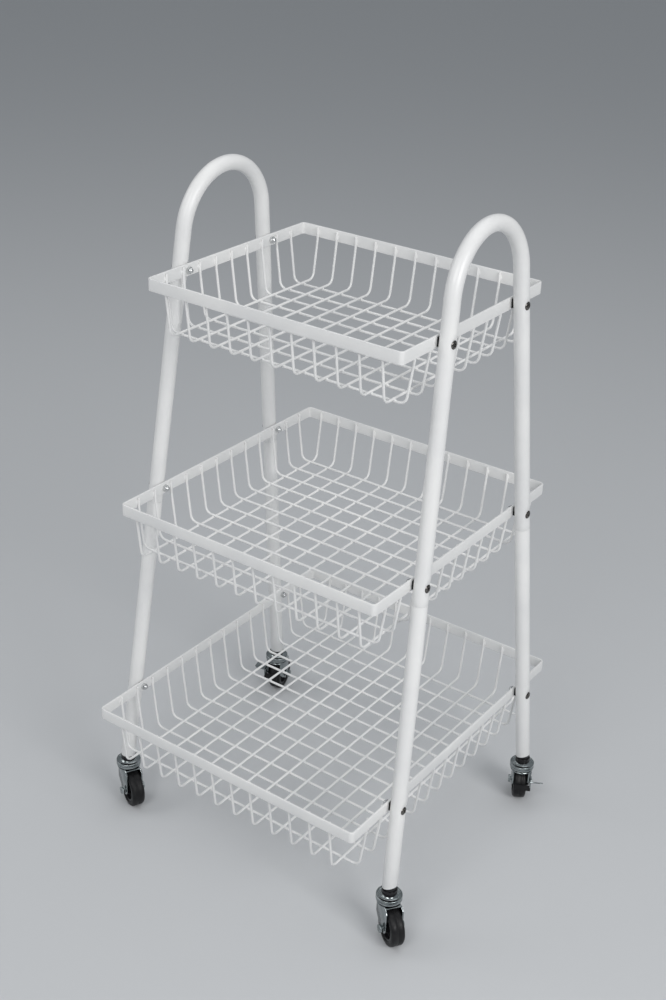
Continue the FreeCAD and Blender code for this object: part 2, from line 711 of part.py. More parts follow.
def tyre(name, place):
    blank = make("Part::Cylinder", f"{name}_blank", at(0, 0, -value("wheel_width / 2")),
                 Radius="wheel_od / 2", Height="wheel_width")
    crown = doc.addObject("Part::Fillet", f"{name}_crown")
    crown.Base = blank
    rounding = min(value("tyre_round"), value("wheel_width / 2 - running_play"))
    crown.Edges = [(1, rounding, rounding), (3, rounding, rounding)]
    seat = make("Part::Cylinder", f"{name}_seat", at(0, 0, -value("wheel_width")),
                Radius="wheel_od / 2 - tyre_wall", Height="2 * wheel_width")
    return cut(name, crown, [seat], place)


def brake_lever(name, place, hand, fall):
    back, eye_r = "trail + lever_eye / 2", "lever_eye / 2"
    corners = [
        ("-pedal_lead", "pedal_level"), ("trail", f"lever_level + {eye_r}"), (back, f"lever_level + {eye_r}"),
        (back, f"lever_level - {eye_r}"), ("-pedal_lead", "pedal_level - lever_height"),
    ]
    outside = value(beside(hand, "lever_inner", "lever_sheet")) + value("lever_sheet")
    side = pad(f"{name}_side", "XZ_Plane", lambda sketch: outline(sketch, corners), "lever_sheet",
               at(0, outside, 0))
    hinge = at(-value("pedal_lead"), value(beside(hand, "lever_inner", "pedal_width")), value("pedal_level"),
               about_y(value(fall)))
    pedal = make("Part::Box", f"{name}_pedal", hinge.multiply(at(0, 0, -value("lever_sheet"))),
                 Length="pedal_length", Width="pedal_width", Height="lever_sheet")
    reach = "lever_outer + wheel_width / 2 - lever_sheet"
    round_wheel = at(value("trail"), 0, value("axle_level"), about_y(-value("shoe_angle")))
    shoe = make("Part::Box", f"{name}_shoe",
                round_wheel.multiply(at(value("wheel_od / 2 + shoe_gap"),
                                        value(beside(hand, "lever_sheet - wheel_width / 2", reach)),
                                        -value("shoe_height / 2"))),
                Length="lever_sheet", Width=reach, Height="shoe_height")
    eye = lever_rod(f"{name}_eye", hand, "rivet_od / 2 + running_play", "0", "fork_outer")
    return cut(name, fuse(f"{name}_blank", [side, pedal, shoe]), [eye], place)


def brake_rivet(name, place, hand):
    under_head = "lever_outer + lever_gap"
    shank = lever_rod(f"{name}_shank", hand, "rivet_od / 2", "fork_inner / 2",
                      f"({under_head} - fork_inner / 2)")
    head = lever_rod(f"{name}_head", hand, "rivet_head_od / 2", under_head, "rivet_head_height")
    return fuse(name, [shank, head], place)


def swivel_balls(name, place):
    count = round(value("ball_count"))
    level = value("fork_top + ball_play + ball_od / 2")
    made = []
    for k in range(count):
        turn = Rotation(360 * k / count, 0, 0)
        spot = place.multiply(at(0, 0, 0, turn)).multiply(at(value("ball_circle / 2"), 0, level))
        made.append(make("Part::Sphere", f"{name}_{k}", spot, Radius="ball_od / 2"))
    return made


balls = []
for end_name, end in ends.items():
    for side_name, side in sides.items():
        corner = f"{end_name}_{side_name}"
        foot = foot_place(side, end).Base
        place = at(foot.x, foot.y, 0, Rotation(value(f"{corner}_swivel"), 0, 0))
        wheel = place.multiply(at(value("trail"), 0, value("axle_level"), Rotation(Vector(1, 0, 0), 90)))
        hand = braked.get(corner, 0)
        node(stem(f"{corner}_stem", place), f"{corner}_stem")
        node(raceway(f"{corner}_raceway", place), f"{corner}_raceway")
        node(fork(f"{corner}_fork", place, hand), f"{corner}_fork")
        node(axle(f"{corner}_axle", place), f"{corner}_axle")
        node(axle_nut(f"{corner}_axle_nut", place), f"{corner}_axle_nut")
        node(hub(f"{corner}_hub", wheel), f"{corner}_hub")
        node(tyre(f"{corner}_tyre", wheel), f"{corner}_tyre")
        if hand:
            lever = brake_lever(f"{corner}_brake_lever", place, hand, f"{corner}_pedal")
            node(lever, f"{corner}_brake_lever")
            node(brake_rivet(f"{corner}_brake_rivet", place, hand), f"{corner}_brake_rivet")
        balls += swivel_balls(f"{corner}_ball", place)
node(group("swivel_balls", balls), "swivel_balls")


# Check every piece, then write them all

doc.recompute()
for obj in doc.Objects:
    if "Invalid" in obj.State or "Error" in obj.State:
        raise RuntimeError(f"{obj.Name} failed: {obj.State}")
for obj in nodes:
    if obj.Shape.isNull() or not obj.Shape.isValid() or not obj.Shape.Solids:
        raise RuntimeError(f"{obj.Label} has no valid solid")
os.makedirs("parts", exist_ok=True)
for obj in nodes:
    obj.Shape.exportStep(f"parts/{obj.Label}.step")
    print(obj.Label, "solids", len(obj.Shape.Solids), "volume", round(obj.Shape.Volume, 1))
print("nodes", len(nodes))
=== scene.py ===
import json
import math

import bmesh
import bpy
from mathutils import Matrix, Vector


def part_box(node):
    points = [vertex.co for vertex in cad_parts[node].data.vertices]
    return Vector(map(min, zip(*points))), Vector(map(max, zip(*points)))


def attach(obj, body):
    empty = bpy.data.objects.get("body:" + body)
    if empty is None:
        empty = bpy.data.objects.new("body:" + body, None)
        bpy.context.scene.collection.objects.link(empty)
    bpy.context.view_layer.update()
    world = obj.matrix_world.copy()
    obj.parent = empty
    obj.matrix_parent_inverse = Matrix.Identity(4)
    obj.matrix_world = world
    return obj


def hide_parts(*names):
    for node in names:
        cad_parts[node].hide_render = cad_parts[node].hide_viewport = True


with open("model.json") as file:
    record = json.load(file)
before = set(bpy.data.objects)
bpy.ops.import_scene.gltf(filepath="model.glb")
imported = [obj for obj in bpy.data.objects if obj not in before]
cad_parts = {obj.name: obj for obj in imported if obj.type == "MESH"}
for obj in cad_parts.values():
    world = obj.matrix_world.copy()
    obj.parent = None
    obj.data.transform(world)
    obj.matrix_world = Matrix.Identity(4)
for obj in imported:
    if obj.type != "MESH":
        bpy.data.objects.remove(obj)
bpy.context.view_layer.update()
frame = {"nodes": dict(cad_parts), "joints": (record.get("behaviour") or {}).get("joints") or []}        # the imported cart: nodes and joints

mm = 0.001
tiers = ("top", "middle", "bottom")
corners = ("front_left", "front_right", "rear_left", "rear_right")
across, along, upward = Vector((1, 0, 0)), Vector((0, 1, 0)), Vector((0, 0, 1))
joints = {joint["name"]: joint for joint in frame["joints"]}
scene = bpy.context.scene


# small helpers

def loopOf(verts):
    chosen = set(verts)
    return list({edge for v in verts for edge in v.link_edges if edge.other_vert(v) in chosen})


def vertsOf(edges):
    return list({v for edge in edges for v in edge.verts})


def onlyVerts(geom):
    return [item for item in geom if isinstance(item, bmesh.types.BMVert)]


def runOn(bm, loop, shift):
    grown = onlyVerts(bmesh.ops.extrude_edge_only(bm, edges=loop)["geom"])
    bmesh.ops.translate(bm, verts=grown, vec=shift)
    return loopOf(grown)


def turnOn(bm, loop, centre, axis, angle, steps):
    swept = bmesh.ops.spin(bm, geom=loop + vertsOf(loop), cent=centre, axis=axis, angle=angle, steps=steps)
    return loopOf(onlyVerts(swept["geom_last"]))


def sweepOn(bm, loop, start, heading, normal, moves):
    # moves are ("run", length) or ("turn", angle, radius, steps), always bending towards normal x heading
    spot, way = start.copy(), heading.copy()
    for move in moves:
        if move[0] == "run":
            loop = runOn(bm, loop, way * move[1])
            spot = spot + way * move[1]
        else:
            angle, radius, steps = move[1:]
            centre = spot + normal.cross(way) * radius
            turn = Matrix.Rotation(angle, 3, normal)
            loop = turnOn(bm, loop, centre, normal, angle, steps)
            spot = centre + turn @ (spot - centre)
            way = turn @ way
    return loop


def ringAt(bm, spot, heading, radius, sides):
    place = Matrix.Translation(spot) @ heading.to_track_quat("Z", "Y").to_matrix().to_4x4()
    made = bmesh.ops.create_circle(bm, segments=sides, radius=radius, matrix=place)
    return loopOf(made["verts"])


def bevelEdges(bm, edges, width):
    bmesh.ops.bevel(bm, geom=edges, offset=width, segments=2, profile=0.5, affect="EDGES", material=-1,
                    clamp_overlap=True)


def sharpEdges(bm, angle=math.radians(40)):
    return [e for e in bm.edges if len(e.link_faces) == 2 and e.calc_face_angle(0) > angle]


def capLoop(bm, loop, rounding):
    bmesh.ops.contextual_create(bm, geom=loop)
    bevelEdges(bm, loop, rounding)


def turnedShape(bm, profile, steps):
    # profile is (radius, height) pairs from pole to pole or round a closed section
    verts = [bm.verts.new((radius, 0, height)) for radius, height in profile]
    edges = [bm.edges.new(pair) for pair in zip(verts, verts[1:])]
    if profile[0][0] > 0:
        edges.append(bm.edges.new((verts[-1], verts[0])))
    bmesh.ops.spin(bm, geom=verts + edges, cent=(0, 0, 0), axis=upward, angle=2 * math.pi, steps=steps,
                   use_merge=True)
    bmesh.ops.remove_doubles(bm, verts=bm.verts, dist=1e-6)


def arcPoints(centre, radius, first, last, steps):
    angles = [math.radians(first + (last - first) * k / steps) for k in range(steps + 1)]
    return [(centre[0] + radius * math.cos(a), centre[1] + radius * math.sin(a)) for a in angles]


def keepBelow(bm, spot, normal):
    # cuts off what lies past a plane
    bmesh.ops.bisect_plane(bm, geom=bm.verts[:] + bm.edges[:] + bm.faces[:], plane_co=spot, plane_no=normal,
                           clear_outer=True)


def sidesOf(corner):
    # -1 or 1 for left or right, and for front or rear
    return (-1 if corner.endswith("left") else 1), (-1 if corner.startswith("front") else 1)


def outward(bm):
    bmesh.ops.remove_doubles(bm, verts=bm.verts, dist=1e-6)
    bmesh.ops.recalc_face_normals(bm, faces=bm.faces)


def finishPiece(name, bm, material, body, nodes=(), crease=35):
    mesh = bpy.data.meshes.new(name)
    bm.to_mesh(mesh)
    bm.free()
    mesh.shade_smooth()
    mesh.set_sharp_from_angle(angle=math.radians(crease))
    mesh.materials.append(material)
    piece = bpy.data.objects.new(name, mesh)
    scene.collection.objects.link(piece)
    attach(piece, body)
    if nodes:
        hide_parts(*nodes)
    return piece


def stampInto(bm, shape, place):
    # adds a copy of a small shape at a place
    copy = bpy.data.meshes.new("stamp")
    shape.to_mesh(copy)
    copy.transform(place)
    bm.from_mesh(copy)
    bpy.data.meshes.remove(copy)


# finishes

def newFinish(name, colour, roughness, metallic=0.0):
    material = bpy.data.materials.new(name)
    material.use_nodes = True
    shader = material.node_tree.nodes["Principled BSDF"]
    shader.inputs["Base Color"].default_value = (*colour, 1)
    shader.inputs["Roughness"].default_value = roughness
    shader.inputs["Metallic"].default_value = metallic
    return material, shader


def addNode(material, kind, **values):
    made = material.node_tree.nodes.new(kind)
    for key, value in values.items():
        made.inputs[key].default_value = value
    return made


def wire(material, source, output, target, socket):
    material.node_tree.links.new(source.outputs[output], target.inputs[socket])


def noiseOn(material, scale, detail, roughness=0.5):
    coords = addNode(material, "ShaderNodeTexCoord")
    noise = addNode(material, "ShaderNodeTexNoise", Scale=scale, Detail=detail, Roughness=roughness)
    wire(material, coords, "Object", noise, "Vector")
    return noise


def rampFrom(material, source, low, high):
    # low and high are each a place on the ramp and a colour
    ramp = addNode(material, "ShaderNodeValToRGB")
    for element, (place, colour) in zip(ramp.color_ramp.elements, (low, high)):
        element.position = place
        element.color = (*colour, 1)
    wire(material, source, "Fac", ramp, "Fac")
    return ramp


def bumpFrom(material, shader, source, strength, distance):
    bump = addNode(material, "ShaderNodeBump", Strength=strength, Distance=distance)
    wire(material, source, "Fac", bump, "Height")
    wire(material, bump, "Normal", shader, "Normal")


# base and rough are the plain values under the noises; patch, gloss and grain are scale and detail of a noise
coat = dict(base=(0.80, 0.80, 0.79), rough=0.34, metal=0.0,
            sockets={"Coat Weight": 0.15, "Coat Roughness": 0.2},
            dull=(0.745, 0.748, 0.745), light=(0.80, 0.80, 0.79), span=(0.35, 0.62), patch=(14, 4),
            shine=(0.30, 0.42), gloss=(60, 3), grain=(900, 2), grainStrength=0.12, grainDepth=0.2 * mm)
# zinc tones are set darker than plated zinc: painted reflection of dark surroundings, in random patches
zinc = dict(base=(0.40, 0.43, 0.435), rough=0.22, metal=1.0, sockets={},
            dull=(0.26, 0.29, 0.295), light=(0.40, 0.43, 0.435), span=(0.36, 0.64), patch=(90, 3),
            shine=(0.10, 0.22), gloss=(420, 3), grain=(900, 2), grainStrength=0.03, grainDepth=0.1 * mm)
nutZinc = dict(zinc, base=(0.76, 0.77, 0.77), rough=0.16, dull=(0.56, 0.57, 0.575), light=(0.76, 0.77, 0.77),
               shine=(0.06, 0.16))
# screw heads: dark metal as painted reflection of dark surroundings, lighter and darker in random patches
darkReflectionScrew = dict(base=(0.16, 0.155, 0.145), rough=0.18, metal=1.0, sockets={},
                 dull=(0.085, 0.08, 0.075), light=(0.26, 0.25, 0.235), span=(0.4, 0.7), patch=(500, 3),
                 shine=(0.12, 0.24), gloss=(900, 2))
plastic = dict(base=(0.012, 0.012, 0.013), rough=0.18, metal=0.0, sockets={"Specular IOR Level": 0.28},
               dull=(0.008, 0.008, 0.009), light=(0.016, 0.016, 0.018), span=(0.35, 0.7), patch=(240, 3),
               shine=(0.12, 0.24), gloss=(700, 2), grain=(2200, 2), grainStrength=0.05, grainDepth=0.1 * mm)
rubber = dict(base=(0.014, 0.014, 0.015), rough=0.5, metal=0.0, sockets={"Specular IOR Level": 0.25},
              dull=(0.007, 0.007, 0.008), light=(0.018, 0.018, 0.018), span=(0.4, 0.8), patch=(120, 5, 0.6),
              shine=(0.34, 0.55), gloss=(300, 3), grain=(1800, 3), grainStrength=0.2, grainDepth=0.15 * mm)
glossSpan = (0.35, 0.65)


def mottledFinish(name, look):
    # colour and roughness both drift in patches, over a fine grain where there is one
    material, shader = newFinish(name, look["base"], look["rough"], look["metal"])
    for socket, value in look["sockets"].items():
        shader.inputs[socket].default_value = value
    tones = zip(look["span"], (look["dull"], look["light"]))
    tone = rampFrom(material, noiseOn(material, *look["patch"]), *tones)
    wire(material, tone, "Color", shader, "Base Color")
    greys = zip(glossSpan, ((value,) * 3 for value in look["shine"]))
    gloss = rampFrom(material, noiseOn(material, *look["gloss"]), *greys)
    wire(material, gloss, "Color", shader, "Roughness")
    if "grain" in look:
        grain = noiseOn(material, *look["grain"])
        bumpFrom(material, shader, grain, look["grainStrength"], look["grainDepth"])
    return material


finishes = dict(
    white=mottledFinish("white_coat", coat),
    zinc=mottledFinish("bright_zinc", zinc),
    nut=mottledFinish("nut_zinc", nutZinc),
    screw=mottledFinish("dark_screw", darkReflectionScrew),
    plastic=mottledFinish("black_plastic", plastic),
    rubber=mottledFinish("black_rubber", rubber),
)
print("finishes made")


# tube frame: two hoops and four lower legs

tube = dict(radius=9.5 * mm, wall=1.2 * mm, sides=36, bend=75 * mm, bendSteps=56, lean=math.radians(2.35),
            splay=math.radians(7.25), seam=450 * mm, groove=0.5 * mm, cutEdge=0.4 * mm, overrun=20 * mm,
            cutSlant={"front_right": 18, "rear_right": 18})
dent = dict(depth=2.2 * mm, reach=14 * mm, width=8 * mm, rows=14)      # pressed in under the screw heads
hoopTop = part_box("right_hoop")[1].z - tube["radius"]
hoopX = 183 * mm      # from the cart's middle to a hoop's axis at the top
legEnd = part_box("front_left_leg")[0].z


def hoopPlace(side):
    return Matrix.Translation((side * hoopX, 0, hoopTop)) @ Matrix.Rotation(-side * tube["lean"], 4, "Y")


def downHoop(level):
    return (hoopTop - level) / math.cos(tube["lean"])


def legSpot(end, down):
    # a leg's axis in its hoop's plane, the given way down from the top
    splay = tube["splay"]
    drop = tube["bend"] * (1 - math.sin(splay))
    out = tube["bend"] * math.cos(splay) + (down - drop) * math.tan(splay)
    return Vector((0, end * out, -down))


def fade(share):
    return math.cos(math.pi / 2 * min(1.0, abs(share))) ** 2


def pressDent(bm, side, end, level):
    # rings are cut round the tube at a screw, then its outer side is pushed in
    place = hoopPlace(side)
    centre = place @ legSpot(end, downHoop(level))
    way = place.to_3x3() @ Vector((0, end * math.sin(tube["splay"]), -math.cos(tube["splay"])))
    aside = way.cross(across).normalized()
    for k in range(dent["rows"] + 1):
        near = [v for v in bm.verts if v.co.y * end > 0]
        edges = list({edge for v in near for edge in v.link_edges})
        faces = list({face for v in near for face in v.link_faces})
        spot = centre + way * dent["reach"] * (2 * k / dent["rows"] - 1)
        bmesh.ops.bisect_plane(bm, geom=near + edges + faces, plane_co=spot, plane_no=way)
    for v in bm.verts:
        offset = v.co - centre
        if v.co.y * end > 0 and offset.x * side > 0:
            share = fade(offset.dot(way) / dent["reach"]) * fade(offset.dot(aside) / dent["width"])
            v.co.x -= side * dent["depth"] * share


def screwLevel(tier):
    low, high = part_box(f"{tier}_screws")
    return (low.z + high.z) / 2


def drawHoop(side, name):
    splay = tube["splay"]
    start = legSpot(-1, downHoop(tube["seam"]))
    legRun = (start - legSpot(-1, tube["bend"] * (1 - math.sin(splay)))).length
    heading = Vector((0, math.sin(splay), math.cos(splay)))
    bm = bmesh.new()
    first = ringAt(bm, start, heading, tube["radius"], tube["sides"])
    bend = ("turn", math.pi - 2 * splay, tube["bend"], tube["bendSteps"])
    moves = [("run", legRun), bend, ("run", legRun)]
    last = sweepOn(bm, first, start, heading, -across, moves)
    for loop in (first, last):
        capLoop(bm, loop, tube["groove"])
    outward(bm)
    bm.transform(hoopPlace(side))
    for tier in ("top", "middle"):
        for end in (-1, 1):
            pressDent(bm, side, end, screwLevel(tier))
    return finishPiece(f"{name}_tube", bm, finishes["white"], "frame", [name])


def drawLeg(corner):
    side, end = sidesOf(corner)
    place = hoopPlace(side)
    top = place @ legSpot(end, downHoop(tube["seam"]))
    foot = place @ legSpot(end, downHoop(legEnd))
    down = (foot - top).normalized()
    bm = bmesh.new()
    loop = ringAt(bm, top, down, tube["radius"], tube["sides"])
    runOn(bm, loop, down * ((foot - top).length + tube["overrun"]))
    pressDent(bm, side, end, screwLevel("bottom"))
    slant = math.radians(tube["cutSlant"].get(corner, 0))
    cutAt = Vector((foot.x - side * tube["radius"], foot.y, legEnd))
    cutNormal = Vector((side * math.sin(slant), 0, -math.cos(slant)))
    keepBelow(bm, cutAt, cutNormal)
    outward(bm)
    bmesh.ops.solidify(bm, geom=bm.faces[:], thickness=tube["wall"])
    bevelEdges(bm, sharpEdges(bm), tube["cutEdge"])
    return finishPiece(f"{corner}_leg_tube", bm, finishes["white"], "frame", [f"{corner}_leg"])


for sideName, side in (("left", -1), ("right", 1)):
    drawHoop(side, f"{sideName}_hoop")
for corner in corners:
    drawLeg(corner)
print("tube frame drawn")


# baskets: a flat-bar rim and two layers of wires each

bar = dict(thickness=2.5 * mm, corner=6 * mm, edge=0.7 * mm, steps=8)


def drawRim(tier):
    low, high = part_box(f"{tier}_rim")
    half = bar["thickness"] / 2
    start = Vector((0, low.y + half, (low.z + high.z) / 2))
    bm = bmesh.new()
    section = bmesh.ops.create_grid(bm, x_segments=1, y_segments=1, size=0.5)["verts"]
    bmesh.ops.delete(bm, geom=list(bm.faces), context="FACES_ONLY")
    bmesh.ops.scale(bm, verts=section, vec=(bar["thickness"], high.z - low.z, 1))
    bmesh.ops.bevel(bm, geom=section, offset=bar["edge"], segments=3, profile=0.5, affect="VERTICES",
                    material=-1)
    # the section's x lies along Y and its y along Z
    bm.transform(Matrix.Translation(start) @ Matrix(((0, 0, 1, 0), (1, 0, 0, 0), (0, 1, 0, 0), (0, 0, 0, 1))))
    radius = bar["corner"] - half
    runX, runY = high.x - bar["corner"], high.y - low.y - 2 * bar["corner"]
    corner = ("turn", math.pi / 2, radius, bar["steps"])
    moves = [("run", runX), corner, ("run", runY), corner, ("run", 2 * runX), corner, ("run", runY), corner,
             ("run", runX)]
    sweepOn(bm, list(bm.edges), start, across, upward, moves)
    outward(bm)
    return finishPiece(f"{tier}_rim_bar", bm, finishes["white"], "frame", [f"{tier}_rim"])


mesh = dict(radius=1.6 * mm, sides=12, pitch=30 * mm, bend=10 * mm, bendSteps=8, ease=20 * mm, easeSteps=3,
            slant=math.radians(8), tip=0.6 * mm)


def wireMoves(width, straight, drop):
    slant, ease, bend = mesh["slant"], mesh["ease"], mesh["bend"]
    rise = drop - straight - ease * math.sin(slant) - bend * (1 - math.sin(slant))
    run = rise / math.cos(slant)
    inset = ease * (1 - math.cos(slant)) + run * math.sin(slant) + bend * math.cos(slant)
    down = [("run", straight), ("turn", slant, ease, mesh["easeSteps"]), ("run", run),
            ("turn", math.pi / 2 - slant, bend, mesh["bendSteps"])]
    return down + [("run", width - 2 * inset)] + down[::-1]


def layerBox(tier, way):
    # centreline spread of one layer of wires, read from its node
    low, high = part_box(f"{tier}_{way}_wires")
    radius = Vector((mesh["radius"],) * 3)
    return low + radius, high - radius + Vector((0, 0, mesh["radius"]))


def drawWires(tier, way):
    low, high = layerBox(tier, way)
    straight = high.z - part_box(f"{tier}_rim")[0].z
    spanAxis, rowAxis = (across, along) if way == "cross" else (along, across)
    width, row = (high - low).dot(spanAxis), (high - low).dot(rowAxis)
    count = round(row / mesh["pitch"]) + 1
    normal = spanAxis.cross(upward)
    bm = bmesh.new()
    for k in range(count):
        start = Vector((low.x, low.y, high.z)) + rowAxis * (row * k / (count - 1))
        first = ringAt(bm, start, -upward, mesh["radius"], mesh["sides"])
        last = sweepOn(bm, first, start, -upward, normal, wireMoves(width, straight, high.z - low.z))
        for loop in (first, last):
            capLoop(bm, loop, mesh["tip"])
    outward(bm)
    return finishPiece(f"{tier}_{way}_wire_row", bm, finishes["white"], "frame",
                       [f"{tier}_{way}_wires"])


weld = dict(cross=(2.3, 2.3, 1.5), rim=(1.1, 3.0, 4.2))      # half sizes in mm; rim is across, along, up


def rowSpots(tier, way):
    low, high = layerBox(tier, way)
    axis = 1 if way == "cross" else 0
    count = round((high - low)[axis] / mesh["pitch"]) + 1
    return [low[axis] + mesh["pitch"] * k for k in range(count)]


def drawWelds(tier):
    crossLow, crossHigh = layerBox(tier, "cross")
    longLow, longHigh = layerBox(tier, "long")
    ys, xs = rowSpots(tier, "cross"), rowSpots(tier, "long")
    level = (crossLow.z + longLow.z) / 2
    blob = bmesh.new()
    bmesh.ops.create_icosphere(blob, subdivisions=2, radius=mm)
    bm = bmesh.new()
    for x in xs:
        for y in ys:
            stampInto(bm, blob, Matrix.Translation((x, y, level)) @ Matrix.Diagonal((*weld["cross"], 1)))
    seatZ = (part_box(f"{tier}_rim")[0].z + crossHigh.z) / 2
    thin, wide, tall = weld["rim"]
    alongY, alongX = Matrix.Diagonal((thin, wide, tall, 1)), Matrix.Diagonal((wide, thin, tall, 1))
    for y in ys:
        for x in (crossLow.x - mesh["radius"], crossHigh.x + mesh["radius"]):
            stampInto(bm, blob, Matrix.Translation((x, y, seatZ)) @ alongY)
    for x in xs:
        for y in (longLow.y - mesh["radius"], longHigh.y + mesh["radius"]):
            stampInto(bm, blob, Matrix.Translation((x, y, seatZ)) @ alongX)
    blob.free()
    return finishPiece(f"{tier}_welds", bm, finishes["white"], "frame", crease=180)


for tier in tiers:
    drawRim(tier)
    for way in ("cross", "long"):
        drawWires(tier, way)
    drawWelds(tier)
print("baskets drawn")


# screws, domed nuts and saddle spacers

fixing = dict(headRadius=5.25 * mm, headRise=2.0 * mm, sunk=2.2 * mm, recess=1.3 * mm, chamfer=0.35 * mm,
              tapers=(0.84, 0.75), arm=3.0 * mm, armHalf=0.8 * mm, nutFlats=8 * mm, nutHeight=4 * mm,
              nutDome=3.7 * mm, nutSlope=0.55, domeFrom=0.9, steps=24, firstTwist=17, nextTwist=49,
              headFlat=(0.62, 0.97), headRound=((0.85, 0.78), (0.97, 0.45), (1.0, 0.12), (1.0, 0.0)))


def screwHead():
    # a pan head about +Z with a cross recess
    f = fixing
    bm = bmesh.new()
    a, b = f["armHalf"], f["arm"]
    plus = [(b, -a), (b, a), (a, a), (a, b), (-a, b), (-a, a), (-b, a), (-b, -a), (-a, -a), (-a, -b), (a, -b),
            (a, -a)]
    inner = [bm.verts.new((x, y, f["headRise"])) for x, y in plus]
    innerLoop = [bm.edges.new(pair) for pair in zip(inner, inner[1:] + inner[:1])]
    flatRadius, flatRise = f["headFlat"]
    lift = Matrix.Translation((0, 0, f["headRise"] * flatRise))
    outerVerts = bmesh.ops.create_circle(bm, segments=f["steps"], radius=f["headRadius"] * flatRadius,
                                         matrix=lift)
    rim = loopOf(outerVerts["verts"])
    bmesh.ops.bridge_loops(bm, edges=innerLoop + rim)
    for radius, height in f["headRound"]:
        grown = onlyVerts(bmesh.ops.extrude_edge_only(bm, edges=rim)["geom"])
        for v in grown:
            flat = Vector((v.co.x, v.co.y, 0)).normalized() * f["headRadius"] * radius
            v.co = (flat.x, flat.y, f["headRise"] * height)
        rim = loopOf(grown)
    bmesh.ops.contextual_create(bm, geom=rim)
    for taper, depth in zip(f["tapers"], (f["chamfer"], f["recess"])):
        sunken = onlyVerts(bmesh.ops.extrude_edge_only(bm, edges=innerLoop)["geom"])
        for v in sunken:
            v.co = (v.co.x * taper, v.co.y * taper, f["headRise"] - depth)
        innerLoop = loopOf(sunken)
    bmesh.ops.contextual_create(bm, geom=innerLoop)
    outward(bm)
    return bm


hexagon = dict(cuts=4, crease=math.radians(25), edge=0.025)      # edge is a share of the flats


def hexNut(flats, height, slope):
    # a hexagon about +Z whose corners are turned off at the top
    bm = bmesh.new()
    point = flats / 2 / math.cos(math.pi / 6)
    made = bmesh.ops.create_circle(bm, segments=6, radius=point, cap_ends=True)["verts"]
    grown = onlyVerts(bmesh.ops.extrude_face_region(bm, geom=list(bm.faces))["geom"])
    bmesh.ops.translate(bm, verts=grown, vec=(0, 0, height))
    bmesh.ops.subdivide_edges(bm, edges=loopOf(grown) + loopOf(made), cuts=hexagon["cuts"])
    for v in bm.verts:
        reach = math.hypot(v.co.x, v.co.y)
        if v.co.z > height / 2:
            v.co.z -= max(0.0, reach - flats / 2) * slope
    bevelEdges(bm, sharpEdges(bm, hexagon["crease"]), flats * hexagon["edge"])
    outward(bm)
    return bm


def domedNut():
    f = fixing
    bm = hexNut(f["nutFlats"], f["nutHeight"], f["nutSlope"])
    dome = bmesh.new()
    base = f["nutHeight"] * f["domeFrom"]
    cap = arcPoints((0, base), f["nutDome"], 0, 90, 8)
    profile = [(0, base)] + cap[:-1] + [(0, base + f["nutDome"])]
    turnedShape(dome, profile, f["steps"])
    outward(dome)
    stampInto(bm, dome, Matrix.Identity(4))
    dome.free()
    return bm


def screwSpots(tier):
    low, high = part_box(f"{tier}_screws")
    z = screwLevel(tier)
    reach = fixing["headRadius"]
    rows = {-1: low.y + reach, 1: high.y - reach}
    return [(side, z, rows[end]) for side in (-1, 1) for end in (-1, 1)]


def drawFixings(tier):
    tubeSide = hoopX + (hoopTop - screwLevel(tier)) * math.tan(tube["lean"]) + tube["radius"]
    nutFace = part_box(f"{tier}_rim")[1].x - bar["thickness"]
    heads, nuts = bmesh.new(), bmesh.new()
    head, nut = screwHead(), domedNut()
    for number, (side, z, y) in enumerate(screwSpots(tier)):
        outwardTurn = Matrix.Rotation(side * math.pi / 2, 4, "Y")
        twist = Matrix.Rotation(math.radians(fixing["firstTwist"] + fixing["nextTwist"] * number), 4, "Z")
        seat = Matrix.Translation((side * (tubeSide - fixing["sunk"]), y, z))
        stampInto(heads, head, seat @ outwardTurn @ twist)
        inwardTurn = Matrix.Rotation(-side * math.pi / 2, 4, "Y")
        stampInto(nuts, nut, Matrix.Translation((side * nutFace, y, z)) @ inwardTurn @ twist)
    head.free()
    nut.free()
    finishPiece(f"{tier}_screw_heads", heads, finishes["screw"], "frame", [f"{tier}_screws"],
                crease=30)
    finishPiece(f"{tier}_domed_nuts", nuts, finishes["nut"], "frame", [f"{tier}_nuts"],
                crease=30)
    saddles = frame["nodes"][f"{tier}_spacers"]
    saddles.data.materials.clear()
    saddles.data.materials.append(finishes["plastic"])


for tier in tiers:
    drawFixings(tier)
print("fixings drawn")


# casters, drawn about the swivel axis with the wheel trailing along +X and the axle along Y

def swivelFoot(corner):
    return Vector(joints[f"{corner}_swivel_turn"]["pos_m"])


def wheelOffset(corner):
    return (Vector(joints[f"{corner}_wheel_spin"]["pos_m"]) - swivelFoot(corner)).to_2d()


caster = dict(trail=wheelOffset("front_left").length, axle=25 * mm, forkUnder=54.5 * mm, forkTop=56.5 * mm,
              steps=48)


def casterPlace(corner):
    foot, offset = swivelFoot(corner), wheelOffset(corner)
    trailing = math.atan2(offset.y, offset.x)
    return Matrix.Translation((foot.x, foot.y, 0)) @ Matrix.Rotation(trailing, 4, "Z")


def atAxle():
    return Matrix.Translation((caster["trail"], 0, caster["axle"]))


def axlePlace(corner):
    # the axle lies along this place's Z
    return casterPlace(corner) @ atAxle() @ Matrix.Rotation(math.pi / 2, 4, "X")


def turnedPiece(name, profile, place, finish, body, nodes, crease=32):
    bm = bmesh.new()
    turnedShape(bm, [(r * mm, z * mm) for r, z in profile], caster["steps"])
    outward(bm)
    bm.transform(place)
    return finishPiece(name, bm, finishes[finish], body, nodes, crease)


# radii and heights in mm, as in the shapes that follow
race = dict(bore=4.05, ceiling=60.8, outer=16.5, low=58.5, wall=1.4, wallFoot=(1.3, 0.4), roll=0.65,
            waist=15.7, groove=(61.6, 62.1), flare=0.7, lip=64.9, lipRound=0.7,
            dish=((14.6, 64.5), (12.6, 64.2), (10.4, 64.9), (9.2, 66.2)), crown=8.5, top=66.8)


